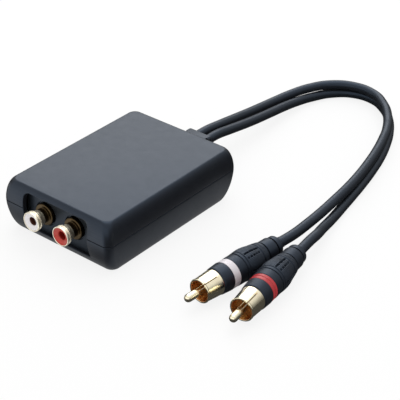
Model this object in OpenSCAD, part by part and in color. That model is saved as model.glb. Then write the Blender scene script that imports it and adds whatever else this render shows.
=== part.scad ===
// Ground loop isolator: a moulded box with two RCA sockets on its front
// face and two short cables, each ending in an RCA plug, at its back.
// The box stands on z = 0 with its front facing -Y. Lengths are in millimetres.

/* [Housing] */
// Width of the housing at the parting line
body_w = 56; // [50:0.5:64]
// Length of the housing at the parting line
body_l = 77.6; // [72:0.2:90]
// Height of the housing
body_h = 23; // [22:0.5:28]
// Height of the parting line above the table
part_z = 13.8; // [12.5:0.1:15]
// How far the upper shell draws in from the parting line to the flat top
top_draw = 3.2; // [1.5:0.1:5]
// How far the long sides of the lower shell draw in towards the base
side_draw = 2.8; // [1.5:0.1:4]
// How far the two ends of the lower shell draw in towards the base
end_draw = 5.4; // [2.5:0.1:6]
// Radius of the upright corners
corner_r = 3.2; // [2:0.1:6]
// Wall of the shells
wall = 2; // [1.6:0.1:2.4]
// Depth from the widest part of the front to the socket panel
panel_depth = 3.4; // [3:0.1:4.5]
// Height of the lip that locates one shell in the other
lip_h = 1.2; // [0.8:0.1:1.6]
// Thickness of that lip
lip_t = 0.8; // [0.6:0.1:1]

/* [Housing screws] */
// Distance from the ends of the flat base to the screws
screw_end = 5.4; // [4.6:0.1:6.4]
// Radius of a screw's shank
screw_r = 1.25; // [1:0.05:1.5]
// Radius of a screw's head
screw_head_r = 2.4; // [2:0.1:2.6]
// Height of a screw's head
screw_head_h = 1.8; // [1.4:0.1:2.2]
// Depth of the well that a screw's head sits in
screw_well = 5; // [4:0.5:7]
// Length of a screw's shank
screw_len = 13; // [11:0.5:14]
// Radius of the bosses that the screws pass through
boss_r = 3.3; // [3.2:0.1:3.6]

/* [Socket window] */
// Width of the window in the front face
window_w = 33.6; // [32:0.2:35]
// Height of the window's lower edge
window_z0 = 4.6; // [4.2:0.1:6]
// Height of the window's upper edge
window_z1 = 20.8; // [20:0.1:21]
// Radius of the window's upper corners
window_r = 2.6; // [1:0.1:4]

/* [Sockets] */
// Distance between the two sockets
socket_pitch = 15.4; // [14:0.1:16.5]
// Height of the sockets above the table
socket_z = 13.4; // [12.6:0.1:14]
// Length of a socket in front of its panel
socket_l = 8.1; // [7:0.1:10]
// Radius of a socket's lip
socket_lip_r = 4.15; // [4.05:0.05:4.2]
// Radius of a socket's neck
socket_neck_r = 3; // [2.9:0.05:3.2]
// Radius of a socket's base collar
socket_base_r = 4.6; // [4.5:0.1:5]
// Radius of the hole that takes a plug's pin
socket_bore_r = 1.65; // [1.62:0.01:1.7]
// Depth of the moulded block that holds the sockets
block_d = 10; // [9.5:0.5:11]
// Depth that a socket's stem reaches into the block
stem_l = 8; // [7:0.5:8]

/* [Circuit board] */
// Clearance between the board and the side walls
board_side_gap = 0.4; // [0.2:0.1:2]
// Clearance between the board and the bosses or the socket block
board_end_gap = 0.7; // [0.4:0.1:2]
// Thickness of the board
board_t = 1.6; // [1:0.1:2]
// Height of the board's underside above the table
board_z = 4.6; // [4:0.1:5]

/* [Transformers] */
// Distance from a core to the side edge of the board
core_edge = 2.3; // [1:0.1:3]
// Width of a core
core_w = 16; // [15:0.2:17]
// Length of a core
core_l = 13; // [12.4:0.2:14]
// Height of a core's stack
core_h = 6; // [5:0.2:7]
// Width of a core's middle leg
core_leg = 5; // [4.4:0.2:5.6]
// Width of a core's outer legs and end bars
core_side = 2.5; // [2.2:0.1:2.8]
// Height of a bobbin's cheeks
cheek_h = 11; // [10:0.2:12.4]

/* [Strain relief] */
// Width of the block behind the housing
relief_w = 12.5; // [11.5:0.1:14]
// Height of the block
relief_h = 7; // [6.4:0.1:8]
// Distance that the block stands out of the housing
relief_l = 11.2; // [10.8:0.1:11.2]

/* [Cables] */
// Diameter of a cable
cable_d = 4.2; // [3.4:0.1:4.2]

/* [Plugs] */
// Radius of a plug's pin
pin_r = 1.6; // [1.5:0.05:1.6]
// Length of pin in front of the shell
pin_out = 6.8; // [6:0.1:8]
// Length of the shell in front of the collar
shell_l = 9.7; // [9:0.1:11]
// Radius of the shell's rim
rim_r = 5; // [4.9:0.05:5.2]
// Radius inside the shell
shell_in_r = 4.15; // [4.1:0.01:4.2]
// Width of the slots in the shell
shell_slot = 0.4; // [0.3:0.05:0.8]
// Length of the black collar behind the shell
collar_l = 5; // [4:0.1:6]
// Radius of the collar at its back
collar_r = 5.8; // [5.6:0.05:6]
// Length of the coloured band
band_l = 3.3; // [2.5:0.1:4]
// Length of the boot behind the band
boot_l = 27.9; // [24:0.1:32]
// Largest radius of the boot
boot_r = 6.2; // [6:0.05:6.2]

/* [Hidden] */
$fn = 48;

// Clearance between pieces that sit in one another
fit = 0.05;
// Clearance round the larger moulded pieces
gap = 0.2;
// Overrun of a cut past the face that it opens
over = 1;

// Shape of the curved walls: 2 is an ellipse, less is straighter
top_power = 1.93;
base_power = 1.67;
// Groove between the shells
groove_d = 0.3;
groove_h = 0.3;
// Steps of a curved wall from the parting line to the flat face
wall_steps = 10;
// Steps round one upright corner
corner_steps = 6;

plastic = "#2b2d31";
gold = "#d9b36a";
dark_gold = "#8a6a32";
white_plastic = "#e8e4de";
red_plastic = "#b3201c";

front_y = -body_l / 2;
back_y = body_l / 2;
panel_y = front_y + panel_depth;

// Plan of a box with rounded corners, as points at height z
function corner_points(cx, cy, r, start, z) =
    [for (i = [0:corner_steps])
        [cx + r * cos(start + 90 * i / corner_steps),
         cy + r * sin(start + 90 * i / corner_steps), z]];
function plan(x1, y0, y1, r, z) = concat(
    corner_points(x1 - r, y1 - r, r, 0, z),
    corner_points(r - x1, y1 - r, r, 90, z),
    corner_points(r - x1, y0 + r, r, 180, z),
    corner_points(x1 - r, y0 + r, r, 270, z));

// How far a curved wall has drawn in, t of the way from the parting line
function drawn(t, draw, power) =
    draw * (1 - pow(max(0, 1 - pow(t, power)), 1 / power));

// Plans of one half of the box from the parting line out to its flat face.
// skin is the wall left outside, front the wall left at the front,
// face the height of the flat face.
function half_plans(skin, front, face, dx, dy, power) =
    [for (i = [skin > 0 ? 0 : 1:wall_steps])
        let (t = sin(90 * i / wall_steps),
             ix = drawn(t, dx, power), iy = drawn(t, dy, power))
        plan(body_w / 2 - skin - ix, front_y + front + iy, back_y - skin - iy,
             max(corner_r - skin / 2, 1), part_z + (face - part_z) * t)];
function upper_plans(skin, front) =
    half_plans(skin, front, body_h - skin, top_draw, top_draw, top_power);
function lower_plans(skin, front) =
    half_plans(skin, front, skin, side_draw, end_draw, base_power);
// Plans of the thin groove that shows where the shells meet, one half of it
function groove_plans(way) = [
    plan(body_w / 2 - groove_d, front_y + groove_d, back_y - groove_d, corner_r, part_z),
    plan(body_w / 2 - groove_d, front_y + groove_d, back_y - groove_d, corner_r,
         part_z + way * groove_h / 2),
    plan(body_w / 2, front_y, back_y, corner_r, part_z + way * (groove_h / 2 + 0.08))];

// Solid through a stack of plans that runs upwards
module loft(plans) {
    n = len(plans[0]);
    m = len(plans);
    polyhedron(
        points = [for (p = plans) each p],
        faces = concat(
            [[for (i = [0:n - 1]) i]],
            [[for (i = [n - 1:-1:0]) (m - 1) * n + i]],
            [for (j = [0:m - 2], i = [0:n - 1])
                let (k = (i + 1) % n)
                [j * n + i, (j + 1) * n + i, (j + 1) * n + k, j * n + k]]));
}

function reversed(list) = [for (i = [len(list) - 1:-1:0]) list[i]];

// Plans of a cavity, run past the parting line so that it opens there
module upper_cavity() {
    plans = upper_plans(wall, panel_depth);
    start = [for (p = plans[0]) [p[0], p[1], part_z - over]];
    loft(concat([start], plans));
}
module lower_cavity() {
    plans = lower_plans(wall, panel_depth);
    start = [for (p = plans[0]) [p[0], p[1], part_z + over]];
    loft(concat(reversed(plans), [start]));
}

// Window in the front wall, with round upper corners
module window_cut() {
    x = window_w / 2;
    outline = concat(
        [[-x, window_z0], [x, window_z0]],
        [for (a = [0:15:90])
            [x - window_r + window_r * cos(a), window_z1 - window_r + window_r * sin(a)]],
        [for (a = [90:15:180])
            [window_r - x + window_r * cos(a), window_z1 - window_r + window_r * sin(a)]]);
    translate([0, panel_y + over, 0])
        rotate([90, 0, 0])
            linear_extrude(panel_depth + 2 * over)
                polygon(outline);
}

// Seat of the socket block behind the window
block_w = window_w + 1.6;
block_z0 = window_z0 - 1.2;
block_z1 = window_z1 + 0.3;
block_front = panel_y + 0.1;
module block_seat() {
    translate([-block_w / 2 - gap, panel_y, block_z0 - gap])
        cube([block_w + 2 * gap, block_d + 2 * gap, block_z1 - block_z0 + 2 * gap]);
}

// Screws stand beside the socket block, in from the ends of the flat base
screw_x = block_w / 2 + boss_r + gap / 2;
screw_y = body_l / 2 - end_draw - screw_end;
module at_screws() {
    for (x = [-1, 1], y = [-1, 1]) translate([x * screw_x, y * screw_y, 0]) children();
}

// Strain relief: outer block, neck in the wall and flange inside
relief_z = 12;
relief_seat = 0.8;
neck_w = relief_w - 2.5;
neck_h = relief_h - 2;
flange_t = 1.6;
module relief_cut() {
    translate([-relief_w / 2 - fit, back_y - relief_seat - fit, relief_z - relief_h / 2 - fit])
        cube([relief_w + 2 * fit, relief_seat + over, relief_h + 2 * fit]);
    translate([-neck_w / 2 - fit, back_y - wall - over, relief_z - neck_h / 2 - fit])
        cube([neck_w + 2 * fit, wall + 2 * over, neck_h + 2 * fit]);
}
// Space inside the back wall for the flange
module flange_space() {
    translate([-relief_w / 2 - gap, back_y - wall - flange_t - 2 * gap,
               relief_z - relief_h / 2 - gap])
        cube([relief_w + 2 * gap, flange_t + 2 * gap, relief_h + 2 * gap]);
}

// Ring between two insets of the housing's plan
module plan_ring(outer, inner, height) {
    difference() {
        linear_extrude(height) plan_outline(outer);
        translate([0, 0, -over]) linear_extrude(height + 2 * over) plan_outline(inner);
    }
}
module plan_outline(inset) {
    front_inset = inset + panel_depth - wall;
    polygon([for (p = plan(body_w / 2 - inset, front_y + front_inset, back_y - inset,
                           max(corner_r - inset / 2, 0.8), 0)) [p[0], p[1]]]);
}
// Tongue on the lower shell's wall that locates the upper shell
tongue_root = 1.5;
module tongue() {
    inner = wall + gap + lip_t;
    translate([0, 0, part_z - tongue_root]) {
        plan_ring(wall - 0.5, inner, tongue_root);
        plan_ring(wall + gap, inner, tongue_root + lip_h);
    }
}

pilot_depth = screw_well + screw_len + 0.6;
upper_boss_z = part_z + 0.1;
module upper_shell() {
    color(plastic)
    difference() {
        union() {
            difference() {
                loft(concat(groove_plans(1), upper_plans(0, 0)));
                upper_cavity();
            }
            at_screws()
                translate([0, 0, upper_boss_z])
                    cylinder(r = boss_r - 0.5, h = body_h - wall / 2 - upper_boss_z);
        }
        at_screws()
            translate([0, 0, part_z - over])
                cylinder(r = screw_r + fit, h = pilot_depth - part_z + over);
        window_cut();
        block_seat();
        relief_cut();
        flange_space();
    }
}

// Board, between the side walls and from the socket block to the rear bosses
board_w = body_w - 2 * (wall + side_draw + board_side_gap);
board_y0 = max(block_front + block_d, boss_r - screw_y) + board_end_gap;
board_y1 = screw_y - boss_r - board_end_gap;
post_inset = 3.3;
post_at = [for (x = [-1, 1], y = [board_y0 + post_inset, board_y1 - post_inset])
    [x * (board_w / 2 - post_inset), y]];
post_r = 2;
post_pin_r = 0.9;
module lower_shell() {
    color(plastic)
    difference() {
        union() {
            difference() {
                loft(reversed(concat(groove_plans(-1), lower_plans(0, 0))));
                lower_cavity();
            }
            at_screws()
                translate([0, 0, wall / 2])
                    cylinder(r = boss_r, h = part_z - wall / 2);
            tongue();
            for (p = post_at) translate([p[0], p[1], wall / 2]) {
                cylinder(r = post_r, h = board_z - wall / 2);
                cylinder(r = post_pin_r, h = board_z + board_t + 0.8 - wall / 2);
            }
        }
        at_screws() {
            translate([0, 0, -over])
                cylinder(r = screw_r + 0.3, h = part_z + 2 * over);
            translate([0, 0, -over])
                cylinder(r = screw_head_r + 0.3, h = screw_well + over);
        }
        window_cut();
        block_seat();
        relief_cut();
        flange_space();
    }
}

// Pan-head screws with a cross recess, driven up from the base
module housing_screws() {
    slot_w = 0.7;
    slot_d = 1;
    color("#7f838a")
    at_screws()
        translate([0, 0, screw_well])
            difference() {
                union() {
                    cylinder(r = screw_r, h = screw_len);
                    translate([0, 0, -screw_head_h])
                        cylinder(r = screw_head_r, h = screw_head_h);
                }
                for (a = [0, 90]) rotate([0, 0, a])
                    translate([-screw_r, -slot_w / 2, -screw_head_h - over])
                        cube([2 * screw_r, slot_w, slot_d + over]);
            }
}

// Round piece on an axis along +Y: outline is [radius, distance] pairs
module turned(outline) {
    rotate([-90, 0, 0]) rotate_extrude() polygon(outline);
}
// Rod along +Y
module rod_y(r, length) {
    rotate([-90, 0, 0]) cylinder(r = r, h = length);
}

socket_front = panel_y - socket_l;
socket_x = socket_pitch / 2;
// Places a socket piece with its own origin at the middle of the lip's front
module at_socket(side) {
    translate([side * socket_x, socket_front, socket_z]) children();
}

stem_in_r = socket_neck_r - 0.55;
mouth_r = socket_lip_r - 0.75;
mouth_l = 2.8;
tail_r = 0.45;
earth_r = 0.25;
earth_x = (socket_neck_r + stem_in_r) / 2;
tail_y = 3.4;
earth_y = 6.4;
sink_d = 0.8;

// Moulded block that carries both sockets
module jack_block() {
    color("#232428")
    difference() {
        translate([-block_w / 2, block_front, block_z0])
            cube([block_w, block_d, block_z1 - block_z0]);
        for (side = [-1, 1]) translate([side * socket_x, block_front, socket_z]) {
            // Round sink that a socket's base collar sits in
            translate([0, -over, 0]) rod_y(socket_base_r + 0.6, sink_d + over);
            translate([0, -over, 0]) rod_y(socket_neck_r + fit, stem_l + over + 0.2);
            rod_y(tail_r + 0.15, block_d + over);
            translate([earth_x, 0, 0]) rod_y(earth_r + fit, block_d + over);
        }
        // Relief pockets in the back of the block, between and beside the sockets
        for (x = [-socket_pitch, 0, socket_pitch])
            translate([x - 1.8, block_front + 3, block_z0 + 2])
                cube([3.6, block_d, block_z1 - block_z0 - 4]);
    }
}

// Outer contact: rolled lip, groove, flare to a neck, base collar and stem
module jack_barrel(side) {
    l = socket_l;
    lip = socket_lip_r;
    neck = socket_neck_r;
    base = l + block_front + sink_d - panel_y;
    bend = l + block_d + earth_y;
    outline = [
        [mouth_r, 0.15], [mouth_r + 0.2, 0], [lip - 0.2, 0], [lip, 0.2],
        [lip, 0.95], [lip - 0.12, 1.1], [lip - 0.5, 1.2], [lip - 0.5, 1.55],
        [lip - 0.15, 1.75], [lip - 0.15, 2.05], [neck + 0.72, 2.8], [neck + 0.45, 3.6],
        [neck + 0.35, 4.6], [neck, 4.75], [neck, l - 1.3],
        [socket_base_r - 0.4, l - 1.3], [socket_base_r, l - 0.9], [socket_base_r, base],
        [neck, base], [neck, l + stem_l], [stem_in_r, l + stem_l],
        [stem_in_r, mouth_l], [mouth_r, mouth_l]];
    color(gold)
    at_socket(side) {
        turned(outline);
        translate([earth_x, l + stem_l - 0.2, 0])
            rod_y(earth_r, block_d + earth_y - stem_l + 0.2);
        translate([earth_x, bend, 0]) sphere(r = earth_r, $fn = 24);
        translate([earth_x, bend, board_z - 0.6 - socket_z])
            cylinder(r = earth_r, h = socket_z - board_z + 0.6);
    }
}

// Insulator: dished coloured face round the hole for a plug's pin
contact_r = socket_bore_r + 0.5;
contact_in_r = socket_bore_r + 0.2;
bore_l = 4.4;
dish = 1.1;
module jack_insert(side, paint) {
    face_r = mouth_r - fit;
    tube_r = stem_in_r - fit;
    outline = [
        [socket_bore_r, dish], [socket_bore_r + 0.5, dish - 0.25],
        [face_r - 0.9, 0.45], [face_r - 0.4, 0.12], [face_r - 0.2, 0.05], [face_r, 0.2],
        [face_r, mouth_l - fit], [tube_r, mouth_l - fit],
        [tube_r, socket_l + stem_l], [contact_r, socket_l + stem_l],
        [contact_r, dish + bore_l], [socket_bore_r, dish + bore_l]];
    color(paint)
    at_socket(side) turned(outline);
}

// Inner contact: a slotted tube behind the hole, with a tail down to the board
module jack_contact(side) {
    front = dish + bore_l + fit;
    back = socket_l + stem_l - 0.4;
    bend = socket_l + block_d + tail_y;
    outer = contact_r - fit;
    color(gold)
    at_socket(side) {
        difference() {
            translate([0, front, 0]) rod_y(outer, back - front);
            translate([0, front - over, 0]) rod_y(contact_in_r, back - front - 0.6 + over);
            for (a = [0, 90]) rotate([0, a, 0])
                translate([-outer - over, front - over, -0.2])
                    cube([2 * outer + 2 * over, back - front - 1.6 + over, 0.4]);
        }
        translate([0, back - 0.1, 0]) rod_y(tail_r, bend - back + 0.1);
        translate([0, bend, 0]) sphere(r = tail_r, $fn = 24);
        translate([0, bend, board_z - 0.8 - socket_z])
            cylinder(r = tail_r, h = socket_z - board_z + 0.8);
    }
}

board_top = board_z + board_t;
hole_gap = 0.15;
cheek_t = 0.9;
window_l = core_l - 2 * core_side;
coil_w = core_w - 2 * core_side - 2 * gap;
core_x = board_w / 2 - core_edge - core_w / 2;
pin_row_y = window_l / 2 - gap - cheek_t / 2;
core_z = board_top + cheek_h / 2;
core_y = -3;
bobbin_pin_r = 0.35;
module at_core(side) {
    translate([side * core_x, core_y, core_z]) children();
}
module at_bobbin_pins(side) {
    for (x = [-1, 0, 1], y = [-1, 1])
        translate([side * core_x + x * coil_w * 0.36, core_y + y * pin_row_y, 0])
            children();
}

// Distance along the board where the cables' wires are soldered to it
solder_y = 17;

module circuit_board() {
    color("#2f6b45")
    difference() {
        translate([-board_w / 2, board_y0, board_z]) cube([board_w, board_y1 - board_y0, board_t]);
        for (p = post_at) translate([p[0], p[1], board_z - over])
            cylinder(r = post_pin_r + hole_gap, h = board_t + 2 * over);
        for (side = [-1, 1]) {
            translate([side * socket_x, socket_front + socket_l + block_d + tail_y, board_z - over])
                cylinder(r = tail_r + hole_gap, h = board_t + 2 * over);
            translate([side * socket_x + earth_x, socket_front + socket_l + block_d + earth_y,
                       board_z - over])
                cylinder(r = earth_r + hole_gap, h = board_t + 2 * over);
            at_bobbin_pins(side)
                translate([0, 0, board_z - over])
                    cylinder(r = bobbin_pin_r + hole_gap, h = board_t + 2 * over);
        }
    }
}

// Stack of E and I plates round the middle leg
module transformer_core(side) {
    side_window = (core_w - 2 * core_side - core_leg) / 2;
    color("#6d7075")
    at_core(side)
        difference() {
            translate([-core_w / 2, -core_l / 2, -core_h / 2]) cube([core_w, core_l, core_h]);
            for (s = [-1, 1])
                translate([s * (core_leg + side_window) / 2 - side_window / 2,
                           -window_l / 2, -core_h])
                    cube([side_window, window_l, 2 * core_h]);
        }
}

tube_w = core_leg + 2 * gap + 1;
tube_h = core_h + 2 * gap + 1;
// Tube round the middle leg with a cheek at each end
module bobbin(side) {
    color("#c9b68b")
    at_core(side)
        difference() {
            union() {
                translate([-tube_w / 2, -window_l / 2 + gap, -tube_h / 2])
                    cube([tube_w, window_l - 2 * gap, tube_h]);
                for (s = [-1, 1])
                    translate([-coil_w / 2, s * pin_row_y - cheek_t / 2, -cheek_h / 2])
                        cube([coil_w, cheek_t, cheek_h]);
            }
            translate([-core_leg / 2 - gap / 2, -window_l, -core_h / 2 - gap / 2])
                cube([core_leg + gap, 2 * window_l, core_h + gap]);
        }
}

// Copper winding between the cheeks
module winding(side) {
    l = 2 * (pin_row_y - cheek_t / 2) - 2 * fit;
    out_w = coil_w - 0.6;
    out_h = cheek_h - 0.8;
    r = 1.6;
    color("#a8622a")
    at_core(side)
        rotate([90, 0, 0])
            translate([0, 0, -l / 2])
                linear_extrude(l)
                    difference() {
                        union() {
                            square([out_w - 2 * r, out_h], center = true);
                            square([out_w, out_h - 2 * r], center = true);
                            for (x = [-1, 1], z = [-1, 1])
                                translate([x * (out_w / 2 - r), z * (out_h / 2 - r)]) circle(r = r);
                        }
                        square([tube_w + 2 * fit, tube_h + 2 * fit], center = true);
                    }
}

// Terminal pins under the cheeks, through the board
module bobbin_pins() {
    color("#c9ccd2")
    for (side = [-1, 1])
        at_bobbin_pins(side)
            translate([0, 0, board_z - 0.8])
                cylinder(r = bobbin_pin_r, h = board_t + 0.8);
}

cable_x = 2.8;
tail_l = 5;
tail_end_y = back_y - wall - flange_t - tail_l;
flange_y = back_y - wall - flange_t - gap;

// Jacket of each cable inside the housing, up to the flange
module cable_tails() {
    color("#1d1f23")
    for (side = [-1, 1])
        translate([side * cable_x, tail_end_y, relief_z])
            rod_y(cable_d / 2, flange_y - tail_end_y - 0.02);
}

// Sweep of a circle along a route of points
function unit(v) = v / norm(v);
function heading(route, i) =
    i == 0 ? unit(route[1] - route[0]) :
    i == len(route) - 1 ? unit(route[i] - route[i - 1]) :
    unit(unit(route[i] - route[i - 1]) + unit(route[i + 1] - route[i]));
function side_of(t) = abs(t[2]) > 0.9 ? unit(cross([1, 0, 0], t)) : unit(cross([0, 0, 1], t));
module tube(route, r, sides) {
    m = len(route);
    rings = [for (i = [0:m - 1])
        let (t = heading(route, i), u = side_of(t), v = cross(t, u))
        each [for (k = [0:sides - 1])
            route[i] + r * (cos(360 * k / sides) * u + sin(360 * k / sides) * v)]];
    polyhedron(
        points = rings,
        faces = concat(
            [[for (k = [sides - 1:-1:0]) k]],
            [[for (k = [0:sides - 1]) (m - 1) * sides + k]],
            [for (j = [0:m - 2], k = [0:sides - 1])
                let (n = (k + 1) % sides)
                [j * sides + k, j * sides + n, (j + 1) * sides + n, (j + 1) * sides + k]]));
}

// Wires from a cable's tail down to the board, at x on one side
lead_r = 0.55;
lead_bend = 3;
module lead(side, x, drop) {
    start = tail_end_y - 0.02;
    foot = board_top + 0.02;
    tube([[side * x, start, relief_z], [side * x, start - lead_bend, relief_z],
          [side * x, start - 2 * lead_bend - drop, relief_z - 1.2],
          [side * x, solder_y + drop + 1.5, foot + 3.4],
          [side * x, solder_y + drop, foot + 2], [side * x, solder_y + drop, foot]],
         lead_r, 8);
}
module signal_leads() {
    color("#b3201c")
    for (side = [-1, 1]) lead(side, cable_x + 0.9, 0);
}
module shield_leads() {
    color("#b98a4a")
    for (side = [-1, 1]) lead(side, cable_x - 0.9, 1.5);
}

// Block with flex slots, a neck in the back wall and a flange inside it
module strain_relief() {
    start = back_y - relief_seat;
    end = back_y + relief_l;
    slot = 1;
    slot_depth = 1.1;
    color(plastic)
    difference() {
        union() {
            translate([0, end, relief_z])
                rotate([90, 0, 0])
                    linear_extrude(end - start)
                        rounded_outline(relief_w, relief_h, 1.2);
            translate([-neck_w / 2, flange_y + fit, relief_z - neck_h / 2])
                cube([neck_w, start - flange_y, neck_h]);
            translate([-relief_w / 2, flange_y, relief_z - relief_h / 2])
                cube([relief_w, flange_t, relief_h]);
        }
        for (y = [start + 3.2:2.6:end - 2.4], s = [-1, 1]) {
            translate([s * relief_w / 2 - slot_depth, y, relief_z - relief_h / 2 - over])
                cube([2 * slot_depth, slot, relief_h + 2 * over]);
        }
    }
}
module rounded_outline(w, h, r) {
    square([w - 2 * r, h], center = true);
    square([w, h - 2 * r], center = true);
    for (x = [-1, 1], y = [-1, 1])
        translate([x * (w / 2 - r), y * (h / 2 - r)]) circle(r = r);
}

// Routes of the two cables, from the strain relief to the back of each plug
route_white = [
    [-2.8, 50.1, 12], [-2.7, 57, 12], [-2.6, 66, 11], [-2.8, 76, 9.5], [-3, 86, 8],
    [-3, 96, 6.8], [-2.6, 106, 6], [-1.2, 116.2, 5.8], [2.2, 126.6, 6.1],
    [8.2, 135.4, 6.4], [17.6, 141, 6.4], [28.4, 140.7, 6.4], [37.6, 135, 6.4],
    [45, 126.8, 6.4], [50.8, 117.2, 6.4], [55, 107, 6.4], [58.4, 96.6, 6.4],
    [61.2, 86, 6.4], [63.5, 75.4, 6.4], [65.3, 64.6, 6.4], [66.4, 53.8, 6.2],
    [67.2, 43, 5.9], [67.8, 33, 6], [68.1, 23.2, 6.2], [67.5, 16.2, 6.2]];
route_red = [
    [2.8, 50.1, 12], [2.9, 57, 12], [3.2, 66, 10.8], [3.2, 76, 9.1], [3, 86, 7.5],
    [2.7, 96, 6.1], [2.5, 106, 4.8], [2.8, 116, 3.5], [4.6, 126, 2.5],
    [9, 135.4, 2.1], [16.6, 141.6, 2.1], [26.4, 142.8, 2.1], [35.8, 138.4, 2.1],
    [43.6, 130.6, 2.1], [49.6, 121.4, 2.1], [54.4, 111.4, 2.1], [58.3, 101, 2.1],
    [61.4, 90.2, 2.1], [64, 79.2, 2.1], [66.2, 68.2, 2.1], [68.2, 57.2, 2.1],
    [70.4, 46.4, 2.6], [72.8, 35.8, 4.2], [74.6, 30, 5.6], [75.5, 23.9, 6.2], [76.4, 17, 6.2]];
module cable_white() {
    color("#1d1f23") tube(route_white, cable_d / 2, 12);
}
module cable_red() {
    color("#1d1f23") tube(route_red, cable_d / 2, 12);
}

// A plug lies in line with the last stretch of its cable. Distances along it
// run from the tip of the pin to the end of the boot.
shell_s = pin_out;
collar_s = shell_s + shell_l;
band_s = collar_s + collar_l;
boot_s = band_s + band_l;
plug_l = boot_s + boot_l;
stem_r = shell_in_r + 0.45;
// Thinner root of the pin, held in the insulator
root_r = pin_r - 0.4;
// Turn of the shell's slots round the plug
shell_turn = 30;
module at_plug(route) {
    last = route[len(route) - 1];
    way = last - route[len(route) - 2];
    translate(last)
        rotate([0, 0, atan2(way[1], way[0]) + 90])
            translate([0, -plug_l, 0]) children();
}

module plug_pin(route) {
    nose = [for (a = [0:15:75]) [pin_r * sin(a), pin_r * (1 - cos(a))]];
    root = collar_s - 2.5;
    color(gold)
    at_plug(route)
        turned(concat(nose, [[pin_r, pin_r], [pin_r, root], [root_r, root],
                             [root_r, collar_s + 1.2], [0, collar_s + 1.2]]));
}

// Split outer contact, a little narrower behind its rolled rim
module plug_shell(route) {
    s = shell_s;
    front_r = rim_r - 0.22;
    outline = [
        [shell_in_r, s + 0.2], [shell_in_r + 0.2, s], [rim_r - 0.25, s],
        [rim_r - 0.05, s + 0.2], [rim_r - 0.05, s + 0.6], [front_r, s + 0.85],
        [front_r + 0.15, s + 3], [rim_r + 0.1, collar_s - 2.2], [rim_r + 0.22, collar_s],
        [stem_r, collar_s], [stem_r, boot_s], [shell_in_r, boot_s]];
    color(gold)
    at_plug(route)
        difference() {
            turned(outline);
            for (a = [shell_turn, shell_turn + 90]) rotate([0, a, 0])
                translate([-rim_r - over, s - over, -shell_slot / 2])
                    cube([2 * rim_r + 2 * over, shell_l * 0.8 + over, shell_slot]);
        }
}

module plug_insulator(route) {
    color("#d8cfba")
    at_plug(route)
        turned([[root_r + fit, collar_s - 2.4], [shell_in_r - fit, collar_s - 2.4],
                [shell_in_r - fit, collar_s + 0.8], [root_r + fit, collar_s + 0.8]]);
}

module plug_collar(route) {
    front_r = collar_r - 0.35;
    color("#1b1c20")
    at_plug(route)
        turned([[stem_r + fit, collar_s + 0.02], [front_r - 0.5, collar_s + 0.02],
                [front_r, collar_s + 0.5], [collar_r, band_s - 0.4],
                [collar_r - 0.15, band_s], [stem_r + fit, band_s]]);
}

module plug_band(route, paint, grooved) {
    r = collar_r - 0.1;
    mid = (band_s + boot_s) / 2;
    groove = grooved ? [[r, mid - 0.3], [r - 0.25, mid - 0.15], [r - 0.25, mid + 0.15], [r, mid + 0.3]] : [];
    color(paint)
    at_plug(route)
        turned(concat(
            [[stem_r + fit, band_s + 0.02], [r, band_s + 0.02]], groove,
            [[r, boot_s], [stem_r + fit, boot_s]]));
}

// Boot: smooth front, barrel grip with slits and dashes, and two rings at the cable
grip_groups = 5;
slit_w = 0.45;
slit_d = 0.4;
dashes = 5;
module plug_boot(route) {
    s = boot_s + 0.02;
    step_s = s + boot_l * 0.19;
    grip_s = step_s + 0.6;
    grip_e = s + boot_l * 0.74;
    ring_e = s + boot_l * 0.915;
    grip_l = grip_e - grip_s;
    slit_s = grip_s + grip_l * 0.14;
    slit_l = grip_l * 0.66;
    dash_l = slit_l / dashes;
    ring_r = boot_r - 1.46;
    groove_r = ring_r - 0.8;
    line = 0.15;
    // Radius of the barrel, t of the way along the grip
    function barrel(t) =
        boot_r - 0.25 + 0.25 * sin(180 * min(t * 1.6, 1)) - 1.425 * pow(max(0, t - 0.35), 1.4);
    function stretch(from, to) =
        [for (t = [from:(to - from) / 5:to + 0.001]) [barrel(t), grip_s + grip_l * t]];
    function fine_line(t) = [
        [barrel(t) - line, grip_s + grip_l * t + 0.08], [barrel(t) - line, grip_s + grip_l * t + 0.24]];
    color("#1f2024")
    at_plug(route)
        difference() {
            turned(concat(
                [[0, s], [boot_r - 0.5, s], [boot_r - 0.35, s + 0.2], [boot_r - 0.35, step_s],
                 [boot_r - 0.8, step_s + 0.05], [boot_r - 0.8, grip_s]],
                stretch(0, 0.07), fine_line(0.07), stretch(0.09, 0.86), fine_line(0.86), stretch(0.88, 1),
                [[groove_r, grip_e + 0.1], [groove_r, grip_e + 0.7],
                 [ring_r, grip_e + 0.8], [ring_r, ring_e],
                 [groove_r - 0.3, ring_e + 0.1], [groove_r - 0.3, ring_e + 0.6],
                 [ring_r - 0.45, ring_e + 0.7], [ring_r - 0.5, plug_l - 0.5],
                 [ring_r - 0.9, plug_l], [0, plug_l]]));
            for (i = [0:grip_groups - 1]) {
                // One long slit beside one row of dashes
                rotate([0, 360 * i / grip_groups, 0])
                    slit(slit_s, slit_l);
                rotate([0, 360 * (i + 0.28) / grip_groups, 0])
                    for (k = [0:dashes - 1])
                        slit(slit_s + k * dash_l, dash_l * 0.6);
            }
        }
}
// Radial cut in the barrel, from a distance along the plug
module slit(start, length) {
    translate([boot_r - slit_d - 0.4, start, -slit_w / 2])
        cube([2, length, slit_w]);
}

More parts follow.
